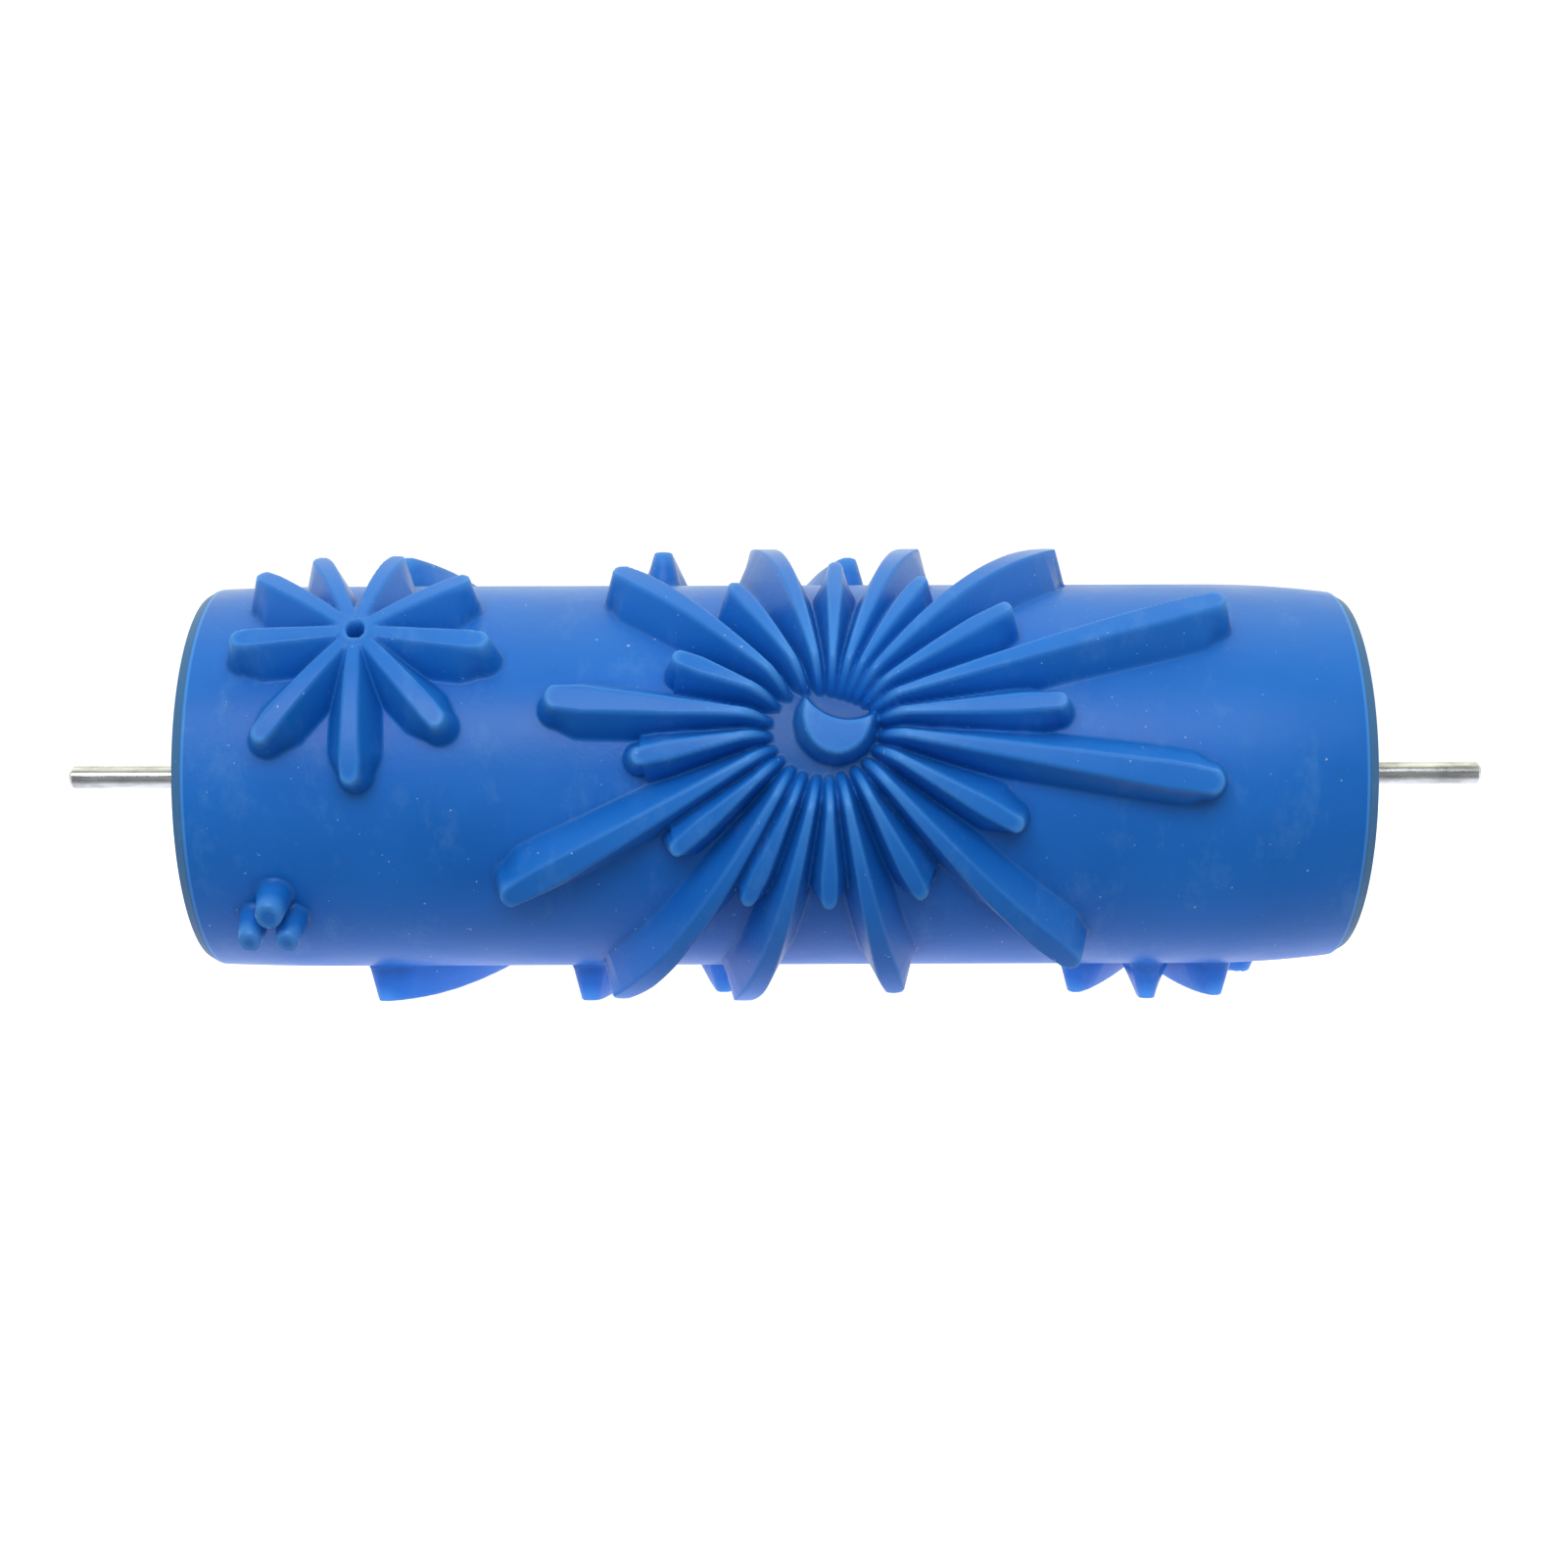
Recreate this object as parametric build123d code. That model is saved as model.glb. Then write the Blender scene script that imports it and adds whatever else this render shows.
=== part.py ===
from build123d import *
import math
import os

# Textured pattern roller: a moulded rubber sleeve on a plastic core, turning on a steel axle.
# Millimetres. X is the axle, Z is up, and the front of the pattern faces -Y.
# The origin is on the axle, halfway along the sleeve.

# Rubber sleeve
SLEEVE_LENGTH = 150.0
SLEEVE_RADIUS = 25.5  # plain rubber between the motifs
RIM_BEVEL = 1.0
LEFT_END_DROP = 0.4  # the sleeve narrows a little towards its ends
RIGHT_END_DROP = 1.2
END_DROP_LENGTH = 18.0

# Relief, moulded in one piece with the sleeve
RELIEF_HEIGHT = 4.8
RELIEF_SINK = 1.6  # how deep the motifs run into the rubber
SIDE_DRAFT = 25.0  # degrees off the outward direction
STEEP_DRAFT = 15.0  # of the bud, and of the large flower's petals at their roots
PLAIN_MARGIN = 3.0  # no motif comes nearer to an end of the sleeve
STATION_STEP = 5.0  # longest straight run of a petal's crest

# Petals: widths of the flat crest at the root, where it is widest, and at the tip
LONG_CRESTS = (0.85, 2.8, 2.2)
SHORT_CRESTS = (0.8, 1.9, 1.5)
SMALL_CRESTS = (1.3, 2.3, 2.0)
LONG_WIDEST_AT = 0.84  # share of the petal's length
SHORT_WIDEST_AT = 0.75
SMALL_WIDEST_AT = 0.85
ROOT_TAPER = 0.8  # a crest is this much of its root width where it starts
TIP_TAPER = 0.6  # and this much of its tip width where it dives into the rubber

# Large flower
LARGE_DISC_RADII = (6.3, 4.9)  # bare oval that the petals rise from, along the axle and round it
LARGE_DISC_SHIFT = (-0.8, -1.35)  # of its middle
LARGE_RISE = 4.2  # length over which a petal rises from the disc
HALFWAY_UP = 0.75  # share of the full height that it has halfway along the rise
LARGE_WIDENING = 12.0  # length over which its sides go from the steep draft to the usual one
LONG_REACH = 31.0  # a petal that reaches further than this is a long one

# Bud in the middle of the large flower
BUD_SHIFT = (0.8, 0.1)
BUD_RADIUS = 4.1  # at its top
BUD_HEIGHT = 4.4
BUD_BITE_RADIUS = 7.1
BUD_BITE_OFFSET = 6.6
BUD_TILT = -13.0

# Small flower
SMALL_PETALS = 9
SMALL_REACH = 15.6
SMALL_HUB_RADIUS = 2.0
SMALL_HOLE_RADIUS = 1.15

# Pegs: a big one above two small ones
PEG_DRAFT = 8.5
BIG_PEG_RADIUS = 1.6
SMALL_PEG_RADIUS = 1.37
SMALL_PEG_DROP = 3.7
SMALL_PEG_SHIFTS = (-3.0, 1.7)

# Core tube
RUBBER_WALL = 5.5  # plain rubber over the core
CORE_WALL = 2.0
CORE_SETBACK = 6.0  # from each end of the sleeve

# End caps
CAP_FLANGE = 2.0
CAP_CLEARANCE = 0.1
CAP_SKIRT = 12.0
CAP_SKIRT_WALL = 2.0
CAP_HUB_RADIUS = 7.0
CAP_HUB_LENGTH = 14.0
CAP_DISH_DEPTH = 0.8
CAP_DISH_WALL = 2.4

# Bearing bushes
BUSH_RADIUS = 4.0
BUSH_FLANGE_RADIUS = 5.5
BUSH_FLANGE = 1.0
BUSH_LENGTH = 12.0

# Axle, thrust washers and E-shaped retaining rings
AXLE_RADIUS = 1.5
AXLE_STICKOUT = 20.0  # beyond each end of the sleeve
AXLE_CHAMFER = 0.4
RUNNING_CLEARANCE = 0.05
END_PLAY = 0.2
WASHER_RADIUS = 4.0
WASHER_THICKNESS = 0.5
WASHER_CLEARANCE = 0.1
RING_RADIUS = 3.0
RING_THICKNESS = 0.6
RING_MOUTH = 1.9  # a little less than the groove is wide, so that the ring snaps on
RING_RELIEF_RADIUS = 0.7
RING_RELIEF_OFFSET = 1.5
GROOVE_DEPTH = 0.35
GROOVE_CLEARANCE = 0.05  # on each side of the ring

# Where the motifs lie: x from the middle, or in from an end, and turn in degrees round the axle,
# from the front upwards.
LARGE_FRONT = (6.6, 13.9)
LARGE_BACK = (-14.0, 191.7)
LEFT_FLOWER_INSET = 22.8
RIGHT_FLOWER_INSET = 23.5
LEFT_FLOWER_TURN = 36.8
LOW_FLOWER_TURN = -123.6
BACK_FLOWER_TURN = 156.2
LOW_FLOWER_FIRST = 96.0  # direction of the first petal, counted from X towards up
BACK_FLOWER_FIRST = 90.0
PEG_INSET = 12.0
FRONT_PEG_TURN = -35.5
BACK_PEG_TURN = 196.0

# Petals of the large flowers: direction at the root, direction at the tip, reach of the crest.
FRONT_PETALS = [
    (3.5, 3.0, 29.0), (17.5, 16.5, 52.0), (30.0, 31.0, 26.5), (43.5, 45.0, 42.5),
    (56.5, 57.0, 22.5), (71.0, 70.0, 34.0), (87.0, 87.3, 22.8), (105.5, 104.6, 36.0),
    (125.0, 125.0, 21.5), (147.0, 142.0, 34.5), (162.0, 160.5, 20.5), (179.0, 176.5, 35.0),
    (192.0, 190.4, 24.7), (204.5, 206.3, 45.2), (216.0, 216.7, 24.3), (229.0, 235.4, 48.5),
    (242.0, 243.0, 23.2), (256.3, 255.3, 45.0), (268.5, 269.5, 21.2), (281.0, 283.3, 38.7),
    (297.0, 300.0, 23.0), (312.0, 316.0, 43.8), (329.5, 333.0, 26.2), (345.0, 351.3, 48.3),
]
BACK_PETALS = [
    (5.0, 4.0, 27.0), (19.0, 17.0, 41.0), (34.0, 34.0, 25.0), (49.0, 50.0, 29.0),
    (64.0, 64.0, 22.5), (78.0, 77.0, 31.2), (93.0, 93.0, 22.0), (107.0, 108.0, 37.2),
    (122.0, 123.0, 23.0), (136.0, 138.5, 52.7), (150.0, 152.0, 25.0), (165.0, 164.5, 44.0),
    (180.0, 181.0, 26.0), (196.0, 197.5, 46.5), (211.0, 212.0, 26.0), (226.0, 228.0, 55.4),
    (240.0, 240.0, 24.0), (254.0, 251.0, 32.0), (268.0, 268.3, 44.3), (284.0, 285.0, 24.0),
    (300.0, 301.0, 47.6), (315.0, 316.0, 25.0), (331.0, 332.0, 40.0), (347.0, 348.0, 42.0),
]

# Petals of the left small flower, which are not quite even: direction and reach of the crest.
LEFT_PETALS = [
    (34.5, 15.8), (79.0, 15.8), (116.0, 16.4), (144.5, 17.0), (184.0, 15.4),
    (228.3, 17.0), (271.0, 17.3), (315.5, 15.9), (355.0, 16.6),
]

# Worked out
HALF_SLEEVE = SLEEVE_LENGTH / 2
CORE_LENGTH = SLEEVE_LENGTH - 2 * CORE_SETBACK
CORE_RADIUS = SLEEVE_RADIUS - RUBBER_WALL
CAP_FACE = CORE_LENGTH / 2 + CAP_FLANGE  # outer face of the cap's flange
RING_FACE = CAP_FACE + END_PLAY + WASHER_THICKNESS  # inner face of the retaining ring
AXLE_LENGTH = SLEEVE_LENGTH + 2 * AXLE_STICKOUT
GROOVE_RADIUS = AXLE_RADIUS - GROOVE_DEPTH
SLOPE = math.tan(math.radians(SIDE_DRAFT))
STEEP_SLOPE = math.tan(math.radians(STEEP_DRAFT))


def on_sleeve(x, distance, height):
    """The point so far along the axle, round the plain sleeve in mm, and above its surface."""
    angle = distance / SLEEVE_RADIUS
    radius = SLEEVE_RADIUS + height
    return Vector(x, -radius * math.cos(angle), radius * math.sin(angle))


def around(turn):
    """The distance round the plain sleeve at a turn in degrees."""
    return math.radians(turn) * SLEEVE_RADIUS


def motif_plane(x, distance, height=0.0):
    """A plane that touches the sleeve there, with its Z pointing outwards."""
    outward = on_sleeve(0, distance, 0).normalized()
    return Plane(on_sleeve(x, distance, height), x_dir=(1, 0, 0), z_dir=outward)


def inside_margins(centre_x, angle, reach):
    """The reach, shorter where it would come too near to an end of the sleeve."""
    along = math.cos(math.radians(angle))
    end = math.copysign(HALF_SLEEVE - PLAIN_MARGIN, along)
    room = (end - centre_x) / along - RELIEF_HEIGHT * SLOPE
    return min(reach, max(room, max(LARGE_DISC_RADII) + LARGE_RISE))


def petal(centre, root, tip, profile):
    """One petal: trapezoids along a straight line of the unrolled sleeve, joined by flat faces.

    centre is (x, distance round the sleeve), root and tip are (distance from the centre,
    direction in degrees), and profile is a list of (share of the length, crest width, crest
    height, slope of the sides).
    """
    start, end = (
        Vector(
            centre[0] + reach * math.cos(math.radians(angle)),
            centre[1] + reach * math.sin(math.radians(angle)),
        )
        for reach, angle in (root, tip)
    )
    line = end - start
    side = Vector(-line.Y, line.X).normalized()
    sections = []
    for share, crest, height, slope in profile:
        middle = start + line * share
        base = crest / 2 + (height + RELIEF_SINK) * slope
        corners = [
            (-base, -RELIEF_SINK),
            (base, -RELIEF_SINK),
            (crest / 2, height),
            (-crest / 2, height),
        ]
        points = []
        for across, up in corners:
            spot = middle + side * across
            points.append(on_sleeve(spot.X, spot.Y, up))
        sections.append(points)
    return flat_sided(sections)


def flat_sided(sections):
    """A solid of flat triangles through a row of four-cornered sections."""
    first, last = sections[0], sections[-1]
    outlines = [(first[2], first[1], first[0]), (first[3], first[2], first[0])]
    outlines += [(last[0], last[1], last[2]), (last[0], last[2], last[3])]
    for near, far in zip(sections, sections[1:]):
        for i in range(4):
            j = (i + 1) % 4
            outlines.append((near[i], near[j], far[j]))
            outlines.append((near[i], far[j], far[i]))
    faces = [Face(Wire.make_polygon(outline, close=True)) for outline in outlines]
    return Solid(Shell(faces))


def crest_run(length, rise, crests, widest_at, root_slope):
    """The stations of a petal's level crest, which widens from its root and narrows to its tip."""
    root_crest, wide_crest, tip_crest = crests
    full = rise / length
    stations = [full]
    for begin, finish in ((full, widest_at), (widest_at, 1.0)):
        steps = max(1, math.ceil((finish - begin) * length / STATION_STEP))
        stations += [begin + (finish - begin) * i / steps for i in range(1, steps + 1)]
    run = []
    for share in stations:
        if share < widest_at:
            crest = root_crest + (wide_crest - root_crest) * (share - full) / (widest_at - full)
        else:
            crest = wide_crest + (tip_crest - wide_crest) * (share - widest_at) / (1 - widest_at)
        widened = min((share - full) * length / LARGE_WIDENING, 1)
        run.append((share, crest, RELIEF_HEIGHT, root_slope + (SLOPE - root_slope) * widened))
    return run


def sloping_tip(length, tip_crest):
    """The last station, where the end of the petal has gone into the rubber."""
    return (1 + RELIEF_HEIGHT * SLOPE / length, tip_crest * TIP_TAPER, -RELIEF_SINK / 2, SLOPE)


def disc_edge(towards):
    """The distance from the flower's centre to the edge of its bare oval, in a direction."""
    along, across = math.cos(towards), math.sin(towards)
    radius = 1 / math.hypot(along / LARGE_DISC_RADII[0], across / LARGE_DISC_RADII[1])
    return radius + LARGE_DISC_SHIFT[0] * along + LARGE_DISC_SHIFT[1] * across


def large_flower(x, turn, petals):
    """Petals round a bare disc, with a bud in the middle."""
    centre = (x, around(turn))
    pieces = [bud(centre)]
    for root_angle, tip_angle, reach in petals:
        reach = inside_margins(x, tip_angle, reach)
        is_long = reach > LONG_REACH
        crests = LONG_CRESTS if is_long else SHORT_CRESTS
        widest_at = LONG_WIDEST_AT if is_long else SHORT_WIDEST_AT
        start = disc_edge(math.radians(root_angle))
        length = reach - start
        root_crest = crests[0]
        profile = [
            (0.0, root_crest * ROOT_TAPER, 0.0, STEEP_SLOPE),
            (LARGE_RISE / 2 / length, root_crest, RELIEF_HEIGHT * HALFWAY_UP, STEEP_SLOPE),
        ]
        profile += crest_run(length, LARGE_RISE, crests, widest_at, STEEP_SLOPE)
        profile.append(sloping_tip(length, crests[-1]))
        pieces.append(petal(centre, (start, root_angle), (reach, tip_angle), profile))
    return pieces


def bud(centre):
    """A drafted half-moon knob: a shallow round bite is out of its upper side."""
    plane = motif_plane(centre[0] + BUD_SHIFT[0], centre[1] + BUD_SHIFT[1], -RELIEF_SINK)
    tall = BUD_HEIGHT + RELIEF_SINK
    knob = Solid.make_cone(BUD_RADIUS + tall * STEEP_SLOPE, BUD_RADIUS, tall)
    low_bite = BUD_BITE_RADIUS - BUD_HEIGHT * STEEP_SLOPE
    bite = Solid.make_cone(low_bite, BUD_BITE_RADIUS + RELIEF_SINK * STEEP_SLOPE, tall)
    bite = Rot(0, 0, BUD_TILT) * Pos(0, BUD_BITE_OFFSET, RELIEF_SINK) * bite
    return plane * (knob - bite)


def even_petals(first):
    """Equal petals all round a small flower, from the direction given."""
    return [(first + i * 360 / SMALL_PETALS, SMALL_REACH) for i in range(SMALL_PETALS)]


def small_flower(x, turn, petals):
    """Petals that meet in a hub."""
    centre = (x, around(turn))
    pieces = []
    for angle, reach in petals:
        length = reach - SMALL_HOLE_RADIUS
        profile = [(0.0, SMALL_CRESTS[0] * ROOT_TAPER, RELIEF_HEIGHT, SLOPE)]
        profile += crest_run(length, SMALL_HUB_RADIUS / 2, SMALL_CRESTS, SMALL_WIDEST_AT, SLOPE)
        profile.append(sloping_tip(length, SMALL_CRESTS[-1]))
        pieces.append(petal(centre, (SMALL_HOLE_RADIUS, angle), (reach, angle), profile))
    tall = RELIEF_HEIGHT + RELIEF_SINK
    hub = Solid.make_cone(SMALL_HUB_RADIUS + tall * SLOPE, SMALL_HUB_RADIUS, tall)
    pieces.append(motif_plane(*centre, -RELIEF_SINK) * hub)
    return pieces


def small_flower_hole(x, turn):
    hole = Solid.make_cylinder(SMALL_HOLE_RADIUS, RELIEF_HEIGHT * 2)
    return motif_plane(x, around(turn)) * hole


def peg(x, distance, radius):
    tall = RELIEF_HEIGHT + RELIEF_SINK
    foot = radius + tall * math.tan(math.radians(PEG_DRAFT))
    return motif_plane(x, distance, -RELIEF_SINK) * Solid.make_cone(foot, radius, tall)


def peg_cluster(x, turn):
    """Three pegs: a big one above two small ones."""
    pegs = [peg(x, around(turn), BIG_PEG_RADIUS)]
    for shift in SMALL_PEG_SHIFTS:
        pegs.append(peg(x + shift, around(turn) - SMALL_PEG_DROP, SMALL_PEG_RADIUS))
    return pegs


def sleeve_blank():
    """The plain sleeve: bevelled rims, and ends that narrow on a large arc."""
    left_rim = SLEEVE_RADIUS - LEFT_END_DROP
    right_rim = SLEEVE_RADIUS - RIGHT_END_DROP
    left_shoulder = (-HALF_SLEEVE + END_DROP_LENGTH, SLEEVE_RADIUS)
    right_shoulder = (HALF_SLEEVE - END_DROP_LENGTH, SLEEVE_RADIUS)
    left_arc = TangentArc(left_shoulder, (-HALF_SLEEVE + RIM_BEVEL, left_rim), tangent=(-1, 0))
    right_arc = TangentArc(right_shoulder, (HALF_SLEEVE - RIM_BEVEL, right_rim), tangent=(1, 0))
    outline = [
        left_arc,
        Polyline(
            (-HALF_SLEEVE + RIM_BEVEL, left_rim),
            (-HALF_SLEEVE, left_rim - RIM_BEVEL),
            (-HALF_SLEEVE, CORE_RADIUS),
            (HALF_SLEEVE, CORE_RADIUS),
            (HALF_SLEEVE, right_rim - RIM_BEVEL),
            (HALF_SLEEVE - RIM_BEVEL, right_rim),
        ),
        right_arc,
        Line(left_shoulder, right_shoulder),
    ]
    return revolve(make_face(outline), Axis.X)


def rubber_sleeve():
    left_x = -HALF_SLEEVE + LEFT_FLOWER_INSET
    right_x = HALF_SLEEVE - RIGHT_FLOWER_INSET
    small_flowers = [
        (left_x, LEFT_FLOWER_TURN, LEFT_PETALS),
        (right_x, LOW_FLOWER_TURN, even_petals(LOW_FLOWER_FIRST)),
        (right_x, BACK_FLOWER_TURN, even_petals(BACK_FLOWER_FIRST)),
    ]
    motifs = large_flower(*LARGE_FRONT, FRONT_PETALS) + large_flower(*LARGE_BACK, BACK_PETALS)
    holes = []
    for x, turn, petals in small_flowers:
        motifs += small_flower(x, turn, petals)
        holes.append(small_flower_hole(x, turn))
    for turn in (FRONT_PEG_TURN, BACK_PEG_TURN):
        motifs += peg_cluster(-HALF_SLEEVE + PEG_INSET, turn)
    moulded = sleeve_blank().fuse(*motifs)
    return moulded.cut(*holes)


def core_tube():
    return ring_along_x(-CORE_LENGTH / 2, CORE_LENGTH / 2, CORE_RADIUS, CORE_RADIUS - CORE_WALL)


def ring_along_x(start, end, outer, inner=0.0):
    """A round bar or ring on the X axis, from start to end."""
    plane = Plane((start, 0, 0), x_dir=(0, 1, 0), z_dir=(1, 0, 0))
    bar = plane * Solid.make_cylinder(outer, end - start)
    if inner:
        bar = bar - plane * Solid.make_cylinder(inner, end - start)
    return bar


def end_cap():
    """The right-hand cap: a flange on the end of the core, with a skirt and a hub inside it."""
    skirt_radius = CORE_RADIUS - CORE_WALL - CAP_CLEARANCE
    seat = CAP_FACE - CAP_FLANGE
    cap = ring_along_x(seat, CAP_FACE, CORE_RADIUS - CAP_CLEARANCE)
    cap += ring_along_x(seat - CAP_SKIRT, seat, skirt_radius, skirt_radius - CAP_SKIRT_WALL)
    cap += ring_along_x(CAP_FACE - CAP_HUB_LENGTH, seat, CAP_HUB_RADIUS)
    cap -= ring_along_x(
        CAP_FACE - CAP_DISH_DEPTH,
        CAP_FACE,
        CORE_RADIUS - CAP_CLEARANCE - CAP_DISH_WALL,
        CAP_HUB_RADIUS + CAP_DISH_WALL / 2,
    )
    cap -= ring_along_x(CAP_FACE - CAP_HUB_LENGTH, CAP_FACE, BUSH_RADIUS)
    cap -= ring_along_x(CAP_FACE - BUSH_FLANGE, CAP_FACE, BUSH_FLANGE_RADIUS)
    return cap


def bearing_bush():
    """The right-hand bush, flush with the face of its cap."""
    bush = ring_along_x(CAP_FACE - BUSH_LENGTH, CAP_FACE, BUSH_RADIUS)
    bush += ring_along_x(CAP_FACE - BUSH_FLANGE, CAP_FACE, BUSH_FLANGE_RADIUS)
    return bush - ring_along_x(CAP_FACE - BUSH_LENGTH, CAP_FACE, AXLE_RADIUS + RUNNING_CLEARANCE)


def thrust_washer():
    inner_face = CAP_FACE + END_PLAY
    bore = AXLE_RADIUS + WASHER_CLEARANCE
    return ring_along_x(inner_face, inner_face + WASHER_THICKNESS, WASHER_RADIUS, bore)


def retaining_ring():
    """An E-shaped ring, pushed sideways into the right-hand groove, that backs the washer."""
    outer_face = RING_FACE + RING_THICKNESS
    ring = ring_along_x(RING_FACE, outer_face, RING_RADIUS, GROOVE_RADIUS)
    mouth = Box(RING_THICKNESS, RING_MOUTH, RING_RADIUS, align=(Align.MIN, Align.CENTER, Align.MAX))
    ring -= Pos(RING_FACE, 0, 0) * mouth
    for side in (-1, 1):
        relief = ring_along_x(RING_FACE, outer_face, RING_RELIEF_RADIUS)
        ring -= Pos(0, side * RING_RELIEF_OFFSET, 0) * relief
    return ring


def axle():
    """A straight rod with chamfered ends and a groove for each retaining ring."""
    rod = ring_along_x(-AXLE_LENGTH / 2, AXLE_LENGTH / 2, AXLE_RADIUS)
    rod = chamfer(rod.edges(), AXLE_CHAMFER)
    start = RING_FACE - GROOVE_CLEARANCE
    end = RING_FACE + RING_THICKNESS + GROOVE_CLEARANCE
    groove = ring_along_x(start, end, AXLE_RADIUS * 2, GROOVE_RADIUS)
    return rod - groove - mirror(groove, about=Plane.YZ)


def write(name, shape):
    shape.label = name
    export_step(shape, f"parts/{name}.step")


def write_pair(name, right_hand):
    """The right-hand piece as it is, and its mirror image at the left end."""
    write(f"{name}_right", right_hand)
    write(f"{name}_left", mirror(right_hand, about=Plane.YZ))


os.makedirs("parts", exist_ok=True)
write("rubber_sleeve", rubber_sleeve())
write("core_tube", core_tube())
write("axle", axle())
write_pair("end_cap", end_cap())
write_pair("bearing_bush", bearing_bush())
write_pair("thrust_washer", thrust_washer())
write_pair("retaining_ring", retaining_ring())
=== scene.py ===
import math

import bpy
import numpy as np
from mathutils import Matrix, Vector


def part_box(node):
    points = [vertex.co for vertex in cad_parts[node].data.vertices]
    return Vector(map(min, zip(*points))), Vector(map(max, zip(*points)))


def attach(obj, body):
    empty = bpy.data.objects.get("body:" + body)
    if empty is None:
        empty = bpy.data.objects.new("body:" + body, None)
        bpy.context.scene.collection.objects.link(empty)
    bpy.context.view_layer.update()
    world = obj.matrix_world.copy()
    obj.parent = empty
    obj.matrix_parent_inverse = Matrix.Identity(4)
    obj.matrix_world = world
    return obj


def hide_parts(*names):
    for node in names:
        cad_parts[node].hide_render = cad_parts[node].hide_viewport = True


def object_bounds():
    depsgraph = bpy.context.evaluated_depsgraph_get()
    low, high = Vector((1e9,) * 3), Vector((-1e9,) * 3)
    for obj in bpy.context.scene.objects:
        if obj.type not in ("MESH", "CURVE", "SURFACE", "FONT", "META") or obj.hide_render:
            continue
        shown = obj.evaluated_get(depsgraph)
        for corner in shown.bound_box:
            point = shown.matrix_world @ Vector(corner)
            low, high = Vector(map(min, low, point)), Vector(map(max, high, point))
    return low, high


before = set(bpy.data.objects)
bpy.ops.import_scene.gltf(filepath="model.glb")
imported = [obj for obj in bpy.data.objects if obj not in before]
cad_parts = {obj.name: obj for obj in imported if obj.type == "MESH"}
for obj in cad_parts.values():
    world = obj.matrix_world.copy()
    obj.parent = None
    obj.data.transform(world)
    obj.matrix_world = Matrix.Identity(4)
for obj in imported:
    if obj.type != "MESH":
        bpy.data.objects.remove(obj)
CAD_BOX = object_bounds()

# A rubber pattern roller on a steel axle. X is the axle, Z is up, the front of the pattern faces -Y.
# The relief is worked out in millimetres on the unrolled sleeve: x along the axle, s round it.
MM = 0.001

# Sleeve
SLEEVE_LOW, SLEEVE_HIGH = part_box("rubber_sleeve")
HALF_SLEEVE = SLEEVE_HIGH.x / MM
CORE_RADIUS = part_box("core_tube")[1].z / MM
SLEEVE_RADIUS = 25.5
GIRTH = 2 * math.pi * SLEEVE_RADIUS
LEFT_END_DROP, RIGHT_END_DROP, END_DROP_LENGTH = 0.4, 1.2, 18.0
RIM_BEVEL = 1.1
RIM_ROUNDING = 0.12
CELL = 0.22
RIM_HIGHLIGHT_BAND = 0.25  # the band beside the bevel that gets a painted highlight
SHARPNESS_REACH = 1.3  # neighbours that a point is compared with, for its painted highlight and its painted shade

# Relief
RELIEF_HEIGHT = 4.8
SLOPE = math.tan(math.radians(25.0))  # side draft
STEEP_SLOPE = math.tan(math.radians(15.0))  # of the buds, and of the petals at their roots
CREST_ROUNDING = 0.22
ROOT_FILLET = 0.25
TIP_LENGTH = 3.5  # a petal's end is steeper over this length

# Widths over which two surfaces run into each other
PETAL_BLEND, SMALL_PETAL_BLEND, BUD_BLEND, HUB_BLEND, HOLE_BLEND = 0.2, 0.15, 0.3, 0.2, 0.3

# Petals: widths of the flat crest at the root, where it is widest, and at the tip
LONG_CRESTS, LONG_WIDEST_AT = (0.85, 2.8, 2.5), 0.84
SHORT_CRESTS, SHORT_WIDEST_AT = (0.8, 1.9, 1.7), 0.75
SMALL_CRESTS, SMALL_WIDEST_AT = (1.3, 2.3, 2.1), 0.85

LARGE_DISC_RADII = (6.3, 4.9)  # along the axle and round it
LARGE_DISC_SHIFT = (-0.8, -1.35)
LARGE_RISE = 4.2
LONG_REACH = 31.0
SMALL_PETALS, SMALL_REACH = 9, 15.6
SMALL_HUB_RADIUS, SMALL_HOLE_RADIUS = 2.0, 1.15
SMALL_RISE = 0.01  # a small flower's petals start at full height, inside the hub
HOLE_SLOPE = 0.12
ROOT_TAPER = 0.8  # a crest is this much of its root width where it starts
SLOPE_CHANGE = 12.0  # length over which a petal's sides go from their root slope to the usual one
LARGE_SPAN, SMALL_SPAN = 62.0, 24.0  # no petal reaches further from its flower's centre

# Bud in the middle of a large flower
BUD_HEIGHT, BUD_RADIUS = 4.4, 4.1
BUD_BITE_RADIUS, BUD_BITE_OFFSET, BUD_BITE_BLEND = 7.1, 6.6, 0.35
BUD_SHIFT = (0.8, 0.1)
FRONT_BUD_TILT, BACK_BUD_TILT = -13.0, 160.0

# Where the motifs lie: x, and the turn round the axle in degrees from the front upwards.
LARGE_FRONT = (6.6, 13.9)
LARGE_BACK = (-14.0, 191.7)
LEFT_FLOWER = (-52.2, 36.8)
LOW_FLOWER = (51.5, -123.6)
BACK_FLOWER = (51.5, 156.2)
LOW_FLOWER_FIRST, BACK_FLOWER_FIRST = 96.0, 90.0  # direction of the first petal
PEG_CLUSTERS = [(-63.0, -35.5), (-63.0, 196.0)]
PEGS = [(0.0, 0.0, 1.6), (-3.0, -3.7, 1.37), (1.7, -3.7, 1.37)]  # x and distance round, radius
PEG_SLOPE = math.tan(math.radians(8.5))

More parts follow.
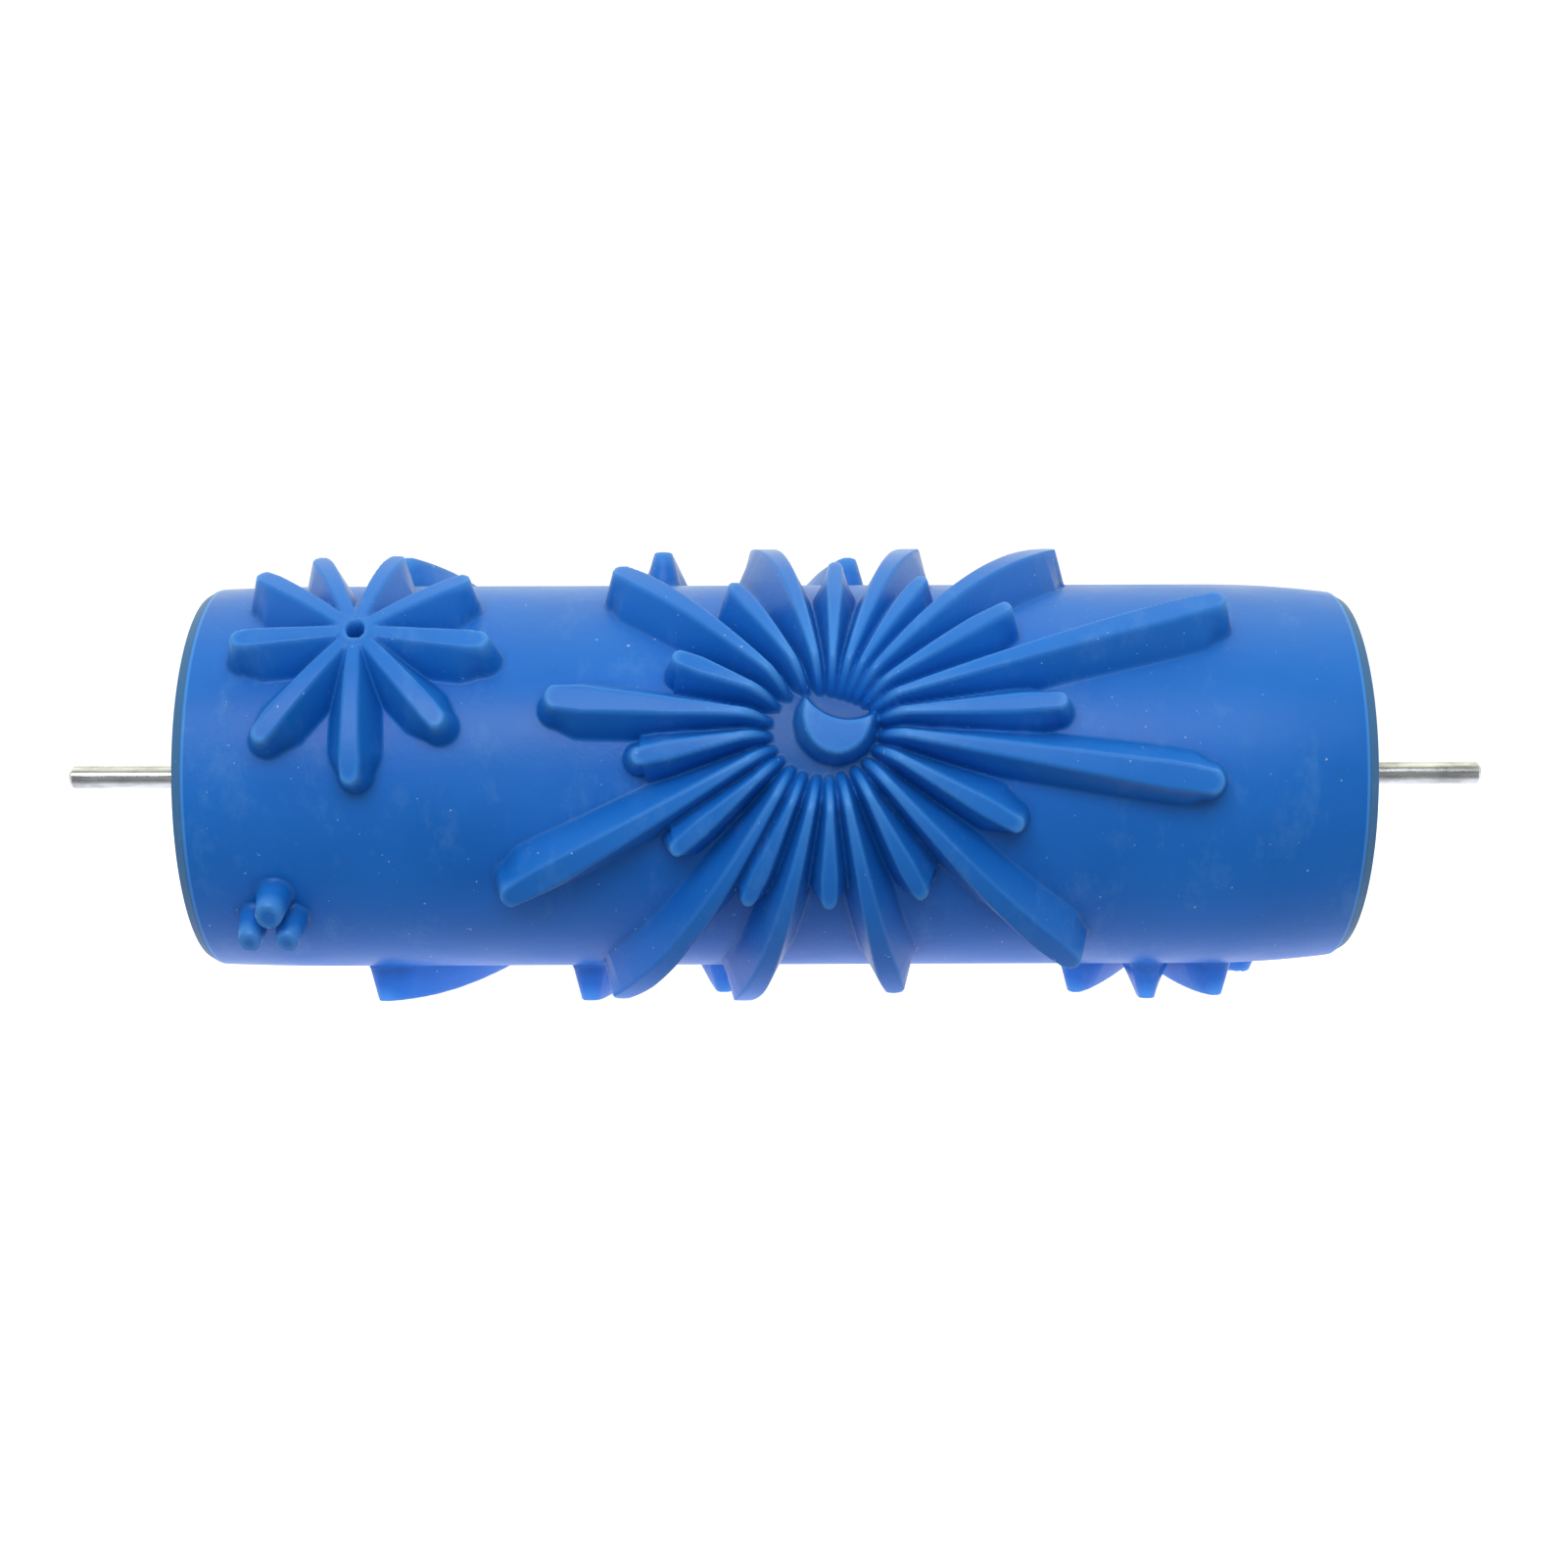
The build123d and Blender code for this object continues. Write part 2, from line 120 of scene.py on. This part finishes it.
# Petals of the large flowers: direction at the root, direction at the tip, reach of the crest.
FRONT_PETALS = [
    (3.5, 3.0, 29.0), (17.5, 16.5, 52.0), (30.0, 31.0, 26.5), (43.5, 45.0, 42.5),
    (56.5, 57.0, 22.5), (71.0, 70.0, 34.0), (87.0, 87.3, 22.8), (105.5, 104.6, 36.0),
    (125.0, 125.0, 21.5), (147.0, 142.0, 34.5), (162.0, 160.5, 20.5), (179.0, 176.5, 35.0),
    (192.0, 190.4, 24.7), (204.5, 206.3, 45.2), (216.0, 216.7, 24.3), (229.0, 235.4, 48.5),
    (242.0, 243.0, 23.2), (256.3, 255.3, 45.0), (268.5, 269.5, 21.2), (281.0, 283.3, 38.7),
    (297.0, 300.0, 23.0), (312.0, 316.0, 43.8), (329.5, 333.0, 26.2), (345.0, 351.3, 48.3),
]
BACK_PETALS = [
    (5.0, 4.0, 27.0), (19.0, 17.0, 41.0), (34.0, 34.0, 25.0), (49.0, 50.0, 29.0),
    (64.0, 64.0, 22.5), (78.0, 77.0, 31.2), (93.0, 93.0, 22.0), (107.0, 108.0, 37.2),
    (122.0, 123.0, 23.0), (136.0, 138.5, 52.7), (150.0, 152.0, 25.0), (165.0, 164.5, 44.0),
    (180.0, 181.0, 26.0), (196.0, 197.5, 46.5), (211.0, 212.0, 26.0), (226.0, 228.0, 55.4),
    (240.0, 240.0, 24.0), (254.0, 251.0, 32.0), (268.0, 268.3, 44.3), (284.0, 285.0, 24.0),
    (300.0, 301.0, 47.6), (315.0, 316.0, 25.0), (331.0, 332.0, 40.0), (347.0, 348.0, 42.0),
]

# Petals of the left small flower, which are not quite even: direction and reach of the crest.
LEFT_PETALS = [
    (34.5, 15.8), (79.0, 15.8), (116.0, 16.4), (144.5, 17.0), (184.0, 15.4),
    (228.3, 17.0), (271.0, 17.3), (315.5, 15.9), (355.0, 16.6),
]


# ---------------------------------------------------------------- relief on the unrolled sleeve
def soft_max(a, b, blend):
    return np.maximum(a, b) + np.maximum(blend - np.abs(a - b), 0) ** 2 / (4 * blend)


def soft_min(a, b, blend):
    return -soft_max(-a, -b, blend)


def around(turn):
    """The distance round the plain sleeve at a turn in degrees."""
    return math.radians(turn) * SLEEVE_RADIUS


def wrapped(distance):
    """A distance round the sleeve, taken the short way."""
    return (distance + GIRTH / 2) % GIRTH - GIRTH / 2


def petal(dx, ds, root, tip, crests, widest_at, rise, root_slope=SLOPE):
    """The height of one petal over the unrolled sleeve, before it meets its neighbours.

    dx and ds are measured from the flower's centre; root and tip are (distance, degrees).
    """
    (x0, s0), (x1, s1) = (
        (reach * math.cos(math.radians(angle)), reach * math.sin(math.radians(angle)))
        for reach, angle in (root, tip)
    )
    length = math.hypot(x1 - x0, s1 - s0)
    ux, us = (x1 - x0) / length, (s1 - s0) / length
    along = (dx - x0) * ux + (ds - s0) * us
    across = np.abs(-(dx - x0) * us + (ds - s0) * ux)
    root_half, wide_half, tip_half = (width / 2 for width in crests)
    stations = [0, rise, widest_at * length, length - tip_half]
    half = np.interp(along, stations, [root_half * ROOT_TAPER, root_half, wide_half, tip_half])
    beyond = np.maximum(along - (length - tip_half), 0)
    outside = np.hypot(across, beyond) - half
    stations = [rise, rise + SLOPE_CHANGE, length - TIP_LENGTH, length - tip_half]
    slope = np.interp(along, stations, [root_slope, SLOPE, SLOPE, STEEP_SLOPE])
    crest = RELIEF_HEIGHT * (1 - (1 - np.minimum(along / rise, 1)) ** 2)
    return soft_min(crest - outside / slope, crest, CREST_ROUNDING)


def large_flower(x, s, centre, petals, bud_tilt):
    dx, ds = x - centre[0], wrapped(s - around(centre[1]))
    near = (np.abs(dx) < LARGE_SPAN) & (np.abs(ds) < LARGE_SPAN)
    dx, ds = dx[near], ds[near]
    relief = np.full(dx.shape, -RELIEF_HEIGHT)
    for root_angle, tip_angle, reach in petals:
        crests, widest_at = SHORT_CRESTS, SHORT_WIDEST_AT
        if reach > LONG_REACH:
            crests, widest_at = LONG_CRESTS, LONG_WIDEST_AT
        towards = math.radians(root_angle)
        ux, us = math.cos(towards), math.sin(towards)
        disc_edge = 1 / math.hypot(ux / LARGE_DISC_RADII[0], us / LARGE_DISC_RADII[1])
        disc_edge += LARGE_DISC_SHIFT[0] * ux + LARGE_DISC_SHIFT[1] * us
        root, tip = (disc_edge, root_angle), (reach, tip_angle)
        one = petal(dx, ds, root, tip, crests, widest_at, LARGE_RISE, STEEP_SLOPE)
        relief = soft_max(relief, one, PETAL_BLEND)
    relief = soft_max(relief, bud(dx, ds, bud_tilt), BUD_BLEND)
    out = np.full(x.shape, -RELIEF_HEIGHT)
    out[near] = relief
    return out


def bud(dx, ds, tilt):
    """A half-moon knob: a round top with a shallow bite out of its upper side."""
    angle = math.radians(tilt)
    dx, ds = dx - BUD_SHIFT[0], ds - BUD_SHIFT[1]
    across = dx * math.cos(angle) + ds * math.sin(angle)
    upwards = -dx * math.sin(angle) + ds * math.cos(angle)
    past_rim = np.hypot(across, upwards) - BUD_RADIUS
    into_bite = BUD_BITE_RADIUS - np.hypot(across, upwards - BUD_BITE_OFFSET)
    outside = soft_max(past_rim, into_bite, BUD_BITE_BLEND)
    return soft_min(BUD_HEIGHT - outside / STEEP_SLOPE, BUD_HEIGHT, CREST_ROUNDING)


def even_petals(first):
    """Equal petals all round a small flower, from the direction given."""
    return [(first + i * 360 / SMALL_PETALS, SMALL_REACH) for i in range(SMALL_PETALS)]


def small_flower(x, s, centre, petals):
    """Narrow petals that meet in a hub with a round hole."""
    dx, ds = x - centre[0], wrapped(s - around(centre[1]))
    near = (np.abs(dx) < SMALL_SPAN) & (np.abs(ds) < SMALL_SPAN)
    dx, ds = dx[near], ds[near]
    relief = np.full(dx.shape, -RELIEF_HEIGHT)
    for angle, reach in petals:
        root, tip = (0.0, angle), (reach, angle)
        one = petal(dx, ds, root, tip, SMALL_CRESTS, SMALL_WIDEST_AT, SMALL_RISE)
        relief = soft_max(relief, one, SMALL_PETAL_BLEND)
    radius = np.hypot(dx, ds)
    hub = RELIEF_HEIGHT - (radius - SMALL_HUB_RADIUS) / SLOPE
    relief = soft_max(relief, soft_min(hub, RELIEF_HEIGHT, CREST_ROUNDING), HUB_BLEND)
    hole = RELIEF_HEIGHT + (radius - SMALL_HOLE_RADIUS) / HOLE_SLOPE
    relief = soft_min(relief, hole, HOLE_BLEND)
    out = np.full(x.shape, -RELIEF_HEIGHT)
    out[near] = relief
    return out


def peg_cluster(x, s, spot):
    """A large tapered peg above two small ones."""
    relief = np.full(x.shape, -RELIEF_HEIGHT)
    for peg_x, peg_s, radius in PEGS:
        dx, ds = x - spot[0] - peg_x, wrapped(s - around(spot[1]) - peg_s)
        outside = np.hypot(dx, ds) - radius
        one = soft_min(RELIEF_HEIGHT - outside / PEG_SLOPE, RELIEF_HEIGHT, CREST_ROUNDING)
        relief = np.maximum(relief, one)
    return relief


def relief_height(x, s):
    height = large_flower(x, s, LARGE_FRONT, FRONT_PETALS, FRONT_BUD_TILT)
    height = np.maximum(height, large_flower(x, s, LARGE_BACK, BACK_PETALS, BACK_BUD_TILT))
    height = np.maximum(height, small_flower(x, s, LEFT_FLOWER, LEFT_PETALS))
    height = np.maximum(height, small_flower(x, s, LOW_FLOWER, even_petals(LOW_FLOWER_FIRST)))
    height = np.maximum(height, small_flower(x, s, BACK_FLOWER, even_petals(BACK_FLOWER_FIRST)))
    for spot in PEG_CLUSTERS:
        height = np.maximum(height, peg_cluster(x, s, spot))
    return soft_max(height, 0, ROOT_FILLET)


def plain_radius(x):
    """The plain sleeve's radius: it narrows on a large arc towards each end."""
    into_left = np.clip((-x - (HALF_SLEEVE - END_DROP_LENGTH)) / END_DROP_LENGTH, 0, 1)
    into_right = np.clip((x - (HALF_SLEEVE - END_DROP_LENGTH)) / END_DROP_LENGTH, 0, 1)
    return SLEEVE_RADIUS - LEFT_END_DROP * into_left**2 - RIGHT_END_DROP * into_right**2


# ---------------------------------------------------------------- meshes
def closed_tube(rows, name):
    """A closed mesh through rows of points; each row is a ring, and the last joins the first."""
    count, ring, _ = rows.shape
    mesh = bpy.data.meshes.new(name)
    mesh.vertices.add(count * ring)
    mesh.vertices.foreach_set("co", (rows.reshape(-1, 3) * MM).ravel())
    i, j = np.meshgrid(np.arange(count), np.arange(ring), indexing="ij")
    next_i, next_j = (i + 1) % count, (j + 1) % ring
    quads = np.stack([i * ring + j, next_i * ring + j, next_i * ring + next_j, i * ring + next_j], -1)
    quads = quads.reshape(-1, 4).astype(np.int32)
    mesh.loops.add(quads.size)
    mesh.loops.foreach_set("vertex_index", quads.ravel())
    mesh.polygons.add(len(quads))
    mesh.polygons.foreach_set("loop_start", np.arange(0, quads.size, 4, dtype=np.int32))
    mesh.polygons.foreach_set("use_smooth", np.ones(len(quads), bool))
    mesh.update()
    mesh.validate()
    piece = bpy.data.objects.new(name, mesh)
    bpy.context.scene.collection.objects.link(piece)
    return piece


def rim(sign, end_radius):
    """Points (x, radius) from the sleeve's side over the bevelled rim to the bore, at one end."""
    points = [(RIM_BEVEL + RIM_ROUNDING, 0.0), (RIM_BEVEL + RIM_ROUNDING / 3, -0.01)]
    points += [(RIM_BEVEL - RIM_ROUNDING / 3, -0.05), (RIM_BEVEL - RIM_ROUNDING, -0.12)]
    points += [(0.1, -0.62), (0.03, -0.68), (0.0, -0.76)]
    outline = [(sign * (HALF_SLEEVE - inset), end_radius + drop) for inset, drop in points]
    face_top = outline[-1][1]
    for i in range(1, 4):
        outline.append((sign * HALF_SLEEVE, face_top - (face_top - CORE_RADIUS - 0.3) * i / 3))
    outline.append((sign * (HALF_SLEEVE - 0.3), CORE_RADIUS))
    return outline


def averaged(height, reach):
    """Each height averaged with its neighbours, up to reach cells away on each side."""
    spread = height
    for axis in (0, 1):
        spread = sum(np.roll(spread, step, axis) for step in range(-reach, reach + 1)) / (2 * reach + 1)
    return spread


def shaded_disc(x, s, height):
    """Painted shade for the middle of a large flower: 1 on the plain rubber there, fading to 0 round it.
    """
    found = np.zeros(x.shape)
    for centre_x, turn in (LARGE_FRONT, LARGE_BACK):
        dx = (x - centre_x - LARGE_DISC_SHIFT[0]) / LARGE_DISC_RADII[0]
        ds = wrapped(s - around(turn) - LARGE_DISC_SHIFT[1]) / LARGE_DISC_RADII[1]
        found = np.maximum(found, np.clip((1.5 - np.hypot(dx, ds)) / 0.4, 0, 1))
    return found * np.clip(1 - height / 1.2, 0, 1)


def build_sleeve():
    count_s = int(round(GIRTH / CELL))
    field_end = HALF_SLEEVE - RIM_BEVEL - 2 * RIM_ROUNDING
    count_x = int(round(2 * field_end / CELL))
    s = np.arange(count_s) * GIRTH / count_s
    x = np.linspace(-field_end, field_end, count_x + 1)
    grid_x, grid_s = np.meshgrid(x, s, indexing="ij")
    height = relief_height(grid_x, grid_s)
    # how far each point stands above its neighbours: it sets the painted highlights on edges and the
    # painted shade in hollows
    standing_out = height - averaged(height, max(1, round(SHARPNESS_REACH / CELL)))
    rows = [(x[i], plain_radius(x[i]) + height[i]) for i in range(len(x))]
    rims = {}
    for sign in (-1, 1):
        end_radius = float(plain_radius(np.array(sign * HALF_SLEEVE)))
        rims[sign] = [(px, np.full(count_s, pr)) for px, pr in rim(sign, end_radius)]
    before, after = rims[-1][::-1], rims[1]
    angle = s / SLEEVE_RADIUS
    points = [
        np.stack([np.full(count_s, px), -pr * np.cos(angle), pr * np.sin(angle)], -1)
        for px, pr in before + rows + after
    ]
    piece = closed_tube(np.stack(points)[:, ::-1], "pattern_sleeve")

    def point_attribute(name, field, at_rims):
        padded = np.full((len(points), count_s), at_rims, dtype=np.float32)
        padded[len(before):len(before) + len(rows)] = field
        layer = piece.data.attributes.new(name, "FLOAT", "POINT")
        layer.data.foreach_set("value", padded[:, ::-1].ravel())

    # the band beside each bevel is given a high standing-out value, which paints a highlight on it
    near_rim = np.abs(grid_x) > field_end - RIM_HIGHLIGHT_BAND
    point_attribute("raised", height / RELIEF_HEIGHT, 0.0)
    point_attribute("standing_out", np.where(near_rim, 2.0, standing_out), 0.0)
    point_attribute("cut", np.zeros(height.shape), 1.0)
    point_attribute("disc_shade", shaded_disc(grid_x, grid_s, height), 0.0)
    return piece


# ---------------------------------------------------------------- materials
def material(name, **values):
    """A Principled material with constants set on its sockets; returns it with its nodes and links."""
    made = bpy.data.materials.new(name)
    made.use_nodes = True
    nodes, links = made.node_tree.nodes, made.node_tree.links
    shader = nodes["Principled BSDF"]
    for socket, value in values.items():
        shader.inputs[socket.replace("_", " ")].default_value = value
    return made, nodes, links, shader


def noise(nodes, links, scale, detail=3.0, roughness=0.5, stretch=None):
    """A noise texture in object space, in 1/m; stretch scales each axis."""
    place = nodes.new("ShaderNodeTexCoord")
    texture = nodes.new("ShaderNodeTexNoise")
    texture.inputs["Scale"].default_value = scale
    texture.inputs["Detail"].default_value = detail
    texture.inputs["Roughness"].default_value = roughness
    if stretch:
        mapping = nodes.new("ShaderNodeMapping")
        mapping.inputs["Scale"].default_value = stretch
        links.new(place.outputs["Object"], mapping.inputs["Vector"])
        links.new(mapping.outputs["Vector"], texture.inputs["Vector"])
    else:
        links.new(place.outputs["Object"], texture.inputs["Vector"])
    return texture.outputs["Fac"]


def ramp(nodes, links, source, stops):
    """A colour ramp on a value; stops are (position, colour or grey)."""
    node = nodes.new("ShaderNodeValToRGB")
    colours = node.color_ramp.elements
    while len(colours) < len(stops):
        colours.new(0.5)
    for element, (position, colour) in zip(colours, stops):
        element.position = position
        if not isinstance(colour, tuple):
            colour = (colour, colour, colour)
        element.color = (*colour, 1.0)
    links.new(source, node.inputs["Fac"])
    return node.outputs["Color"]


def rescaled(nodes, links, source, start, end):
    """A value rescaled in a straight line; start and end are (value in, value out)."""
    node = nodes.new("ShaderNodeMapRange")
    node.inputs["From Min"].default_value, node.inputs["To Min"].default_value = start
    node.inputs["From Max"].default_value, node.inputs["To Max"].default_value = end
    links.new(source, node.inputs["Value"])
    return node.outputs["Result"]


def mixed(nodes, links, kind, factor, a, b):
    """A colour mix; each of factor, a and b is a socket or a constant."""
    node = nodes.new("ShaderNodeMix")
    node.data_type = "RGBA"
    node.blend_type = kind
    for socket, value in ((node.inputs[0], factor), (node.inputs[6], a), (node.inputs[7], b)):
        if isinstance(value, bpy.types.NodeSocket):
            links.new(value, socket)
        else:
            socket.default_value = value if isinstance(value, float) else (*value, 1.0)
    return node.outputs[2]


def bump(nodes, links, shader, layers):
    """Stacked bumps; layers are (height socket, strength, distance in metres)."""
    normal = None
    for height, strength, distance in layers:
        node = nodes.new("ShaderNodeBump")
        node.inputs["Strength"].default_value = strength
        node.inputs["Distance"].default_value = distance
        links.new(height, node.inputs["Height"])
        if normal:
            links.new(normal, node.inputs["Normal"])
        normal = node.outputs["Normal"]
    links.new(normal, shader.inputs["Normal"])


def attribute(nodes, name):
    node = nodes.new("ShaderNodeAttribute")
    node.attribute_name = name
    return node.outputs["Fac"]


def rubber_material():
    made, nodes, links, shader = material("blue_rubber", Specular_IOR_Level=0.24)
    patches = [(0.3, (0.004, 0.115, 0.50)), (0.7, (0.008, 0.142, 0.58))]
    colour = ramp(nodes, links, noise(nodes, links, 45, 4), patches)
    # painted light: raised parts are mixed to a lighter blue, as though less shaded than the sleeve
    # between them
    crest = ramp(nodes, links, attribute(nodes, "raised"), [(0.1, 0.0), (1.0, 0.22)])
    colour = mixed(nodes, links, "MIX", crest, colour, (0.025, 0.2, 0.7))
    standing_out = attribute(nodes, "standing_out")
    # painted shade: points lower than their neighbours are darkened
    hollow_shade = rescaled(nodes, links, standing_out, (0.0, 0.0), (-1.0, 0.45))
    colour = mixed(nodes, links, "MIX", hollow_shade, colour, (0.002, 0.075, 0.33))
    # painted highlight: edges standing out from their neighbours, and the band beside each bevel, are
    # lightened
    edge_highlight = rescaled(nodes, links, standing_out, (0.5, 0.0), (1.5, 0.45))
    colour = mixed(nodes, links, "MIX", edge_highlight, colour, (0.08, 0.31, 0.78))
    # painted shade on the plain rubber in the middle of each large flower, among its petals
    disc_shade = ramp(nodes, links, attribute(nodes, "disc_shade"), [(0.0, 0.0), (1.0, 0.65)])
    colour = mixed(nodes, links, "MIX", disc_shade, colour, (0.012, 0.085, 0.30))
    # the cut ends are dull and grey, with some scuffs over the whole sleeve
    colour = mixed(nodes, links, "MIX", attribute(nodes, "cut"), colour, (0.03, 0.13, 0.33))
    scuffs = noise(nodes, links, 170, 9, 0.74, stretch=(1.0, 0.6, 0.6))
    scuffs = ramp(nodes, links, scuffs, [(0.54, 0.0), (0.76, 0.2)])
    colour = mixed(nodes, links, "MIX", scuffs, colour, (0.16, 0.36, 0.68))
    dust = ramp(nodes, links, noise(nodes, links, 1500, 1, 0.4), [(0.775, 0.0), (0.815, 0.5)])
    colour = mixed(nodes, links, "MIX", dust, colour, (0.42, 0.56, 0.78))
    links.new(colour, shader.inputs["Base Color"])
    rough = ramp(nodes, links, noise(nodes, links, 90, 5), [(0.3, 0.33), (0.7, 0.46)])
    rough = mixed(nodes, links, "MIX", attribute(nodes, "cut"), rough, (0.55, 0.55, 0.55))
    links.new(rough, shader.inputs["Roughness"])
    bump(
        nodes,
        links,
        shader,
        [
            (noise(nodes, links, 120, 3), 0.25, 0.0004),
            (noise(nodes, links, 700, 3), 0.16, 0.00012),
            (noise(nodes, links, 2000, 2), 0.25, 0.00008),
        ],
    )
    return made


def steel_material(name, colour, roughness):
    made, nodes, links, shader = material(name, Metallic=1.0)
    streaks = noise(nodes, links, 900, 4, 0.6, stretch=(0.12, 1.0, 1.0))
    blotches = noise(nodes, links, 420, 5, 0.65, stretch=(0.5, 1.0, 1.0))
    dark = tuple(value * 0.6 for value in colour)
    tint = ramp(nodes, links, streaks, [(0.3, dark), (0.6, colour)])
    shade = ramp(nodes, links, blotches, [(0.38, 0.5), (0.56, 1.0)])
    tint = mixed(nodes, links, "MULTIPLY", 0.6, tint, shade)
    links.new(tint, shader.inputs["Base Color"])
    rough = ramp(nodes, links, streaks, [(0.3, roughness * 1.6), (0.7, roughness * 0.8)])
    links.new(rough, shader.inputs["Roughness"])
    bump(nodes, links, shader, [(streaks, 0.45, 0.00008), (blotches, 0.2, 0.00006)])
    return made


def plastic_material(name, colour, roughness):
    made, nodes, links, shader = material(name, Specular_IOR_Level=0.45)
    cloud = noise(nodes, links, 70, 4)
    dark = tuple(value * 0.93 for value in colour)
    links.new(ramp(nodes, links, cloud, [(0.3, dark), (0.7, colour)]), shader.inputs["Base Color"])
    rough = ramp(nodes, links, cloud, [(0.3, roughness), (0.7, roughness + 0.1)])
    links.new(rough, shader.inputs["Roughness"])
    bump(nodes, links, shader, [(noise(nodes, links, 1200, 2), 0.1, 0.0001)])
    return made


def dress(node, finish):
    """Gives a carried-over CAD node its finished material."""
    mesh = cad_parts[node].data
    mesh.materials.clear()
    mesh.materials.append(finish)


# ---------------------------------------------------------------- stage, light and camera
WARM = (1.0, 0.98, 0.74)


def area_light(name, location, target, size, power, colour=(1.0, 1.0, 1.0)):
    light = bpy.data.lights.new(name, "AREA")
    light.color = colour
    light.shape = "RECTANGLE"
    light.size, light.size_y = size
    light.energy = power
    lamp = bpy.data.objects.new(name, light)
    lamp.location = location
    lamp.rotation_euler = (Vector(target) - Vector(location)).to_track_quat("-Z", "Y").to_euler()
    bpy.context.scene.collection.objects.link(lamp)
    return lamp


def brightness_by_depth(nodes, links, coordinate, near, far):
    """A brightness that changes along Y; near and far are (Y, brightness)."""
    place, split = nodes.new("ShaderNodeTexCoord"), nodes.new("ShaderNodeSeparateXYZ")
    links.new(place.outputs[coordinate], split.inputs["Vector"])
    return rescaled(nodes, links, split.outputs["Y"], near, far)


def build_stage():
    side, floor_z = 6.0, CAD_BOX[0].z
    mesh = bpy.data.meshes.new("floor")
    outline = [(-side, -side), (side, -side), (side, side), (-side, side)]
    corners = [(x, y, floor_z) for x, y in outline]
    mesh.from_pydata(corners, [], [(0, 1, 2, 3)])
    floor = bpy.data.objects.new("floor", mesh)
    bpy.context.scene.collection.objects.link(floor)
    made, nodes, links, shader = material("pale_floor", Roughness=0.9, Specular_IOR_Level=0.1)
    shader.inputs["Base Color"].default_value = (0.25, 0.25, 0.25, 1.0)
    shader.inputs["Emission Color"].default_value = (1.0, 1.0, 1.0, 1.0)
    bounce = brightness_by_depth(nodes, links, "Object", (-0.03, 0.1), (-0.004, 1.2))
    path, glow = nodes.new("ShaderNodeLightPath"), nodes.new("ShaderNodeMix")
    links.new(path.outputs["Is Camera Ray"], glow.inputs["Factor"])
    links.new(bounce, glow.inputs["A"])
    glow.inputs["B"].default_value = 1.0
    links.new(glow.outputs["Result"], shader.inputs["Emission Strength"])
    mesh.materials.append(made)

    world = bpy.data.worlds.new("studio")
    bpy.context.scene.world = world
    world.use_nodes = True
    nodes, links = world.node_tree.nodes, world.node_tree.links
    seen, lit = nodes["Background"], nodes.new("ShaderNodeBackground")
    seen.inputs["Color"].default_value = (1.0, 1.0, 1.0, 1.0)
    seen.inputs["Strength"].default_value = 1.1
    lit.inputs["Color"].default_value = (*WARM, 1.0)
    path, mix = nodes.new("ShaderNodeLightPath"), nodes.new("ShaderNodeMixShader")
    links.new(path.outputs["Is Camera Ray"], mix.inputs["Fac"])
    links.new(lit.outputs["Background"], mix.inputs[1])
    links.new(seen.outputs["Background"], mix.inputs[2])
    links.new(mix.outputs["Shader"], nodes["World Output"].inputs["Surface"])
    # the room is darker on the near side than behind the object
    room = brightness_by_depth(nodes, links, "Generated", (-1.0, 0.25), (1.0, 1.8))
    links.new(room, lit.inputs["Strength"])

    area_light("top_softbox", (0.0, 0.0, 0.75), (0, 0, 0), (0.9, 0.6), 1.25, WARM)
    area_light("front_softbox", (-0.05, -0.62, 0.33), (0, 0, 0), (0.6, 0.3), 3.35)


def build_camera():
    """The photograph's view: level, almost square on, about 0.3 m from the axle."""
    yaw, roll = math.radians(0.33), math.radians(0.19)
    camera = bpy.data.objects.new("camera", bpy.data.cameras.new("camera"))
    bpy.context.scene.collection.objects.link(camera)
    turned = Matrix.Rotation(-roll, 4, "Y") @ Matrix.Rotation(yaw, 4, "Z")
    placed = Matrix.Translation((0.00102, -0.2965, -0.00122)) @ Matrix.Rotation(math.radians(90), 4, "X")
    camera.matrix_world = turned.inverted() @ placed
    camera.data.sensor_width = 36.0
    camera.data.lens = 50.4
    camera.data.clip_start = 0.01
    bpy.context.scene.camera = camera


# ---------------------------------------------------------------- the object
build_stage()
build_camera()
scene = bpy.context.scene
scene.view_settings.view_transform = "Standard"
scene.view_settings.look = "None"

sleeve = build_sleeve()
sleeve.data.materials.append(rubber_material())
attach(sleeve, "roller")
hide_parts("rubber_sleeve")

steel = steel_material("bright_steel", (0.56, 0.58, 0.66), 0.2)
spring_steel = steel_material("spring_steel", (0.50, 0.50, 0.52), 0.3)
off_white = plastic_material("off_white_plastic", (0.72, 0.72, 0.69), 0.4)
grey = plastic_material("grey_plastic", (0.33, 0.34, 0.35), 0.5)
acetal = plastic_material("white_acetal", (0.85, 0.85, 0.82), 0.28)
nylon = plastic_material("black_nylon", (0.02, 0.02, 0.022), 0.45)
dress("axle", steel)
dress("core_tube", grey)
for side in ("left", "right"):
    dress(f"end_cap_{side}", off_white)
    dress(f"bearing_bush_{side}", acetal)
    dress(f"thrust_washer_{side}", nylon)
    dress(f"retaining_ring_{side}", spring_steel)
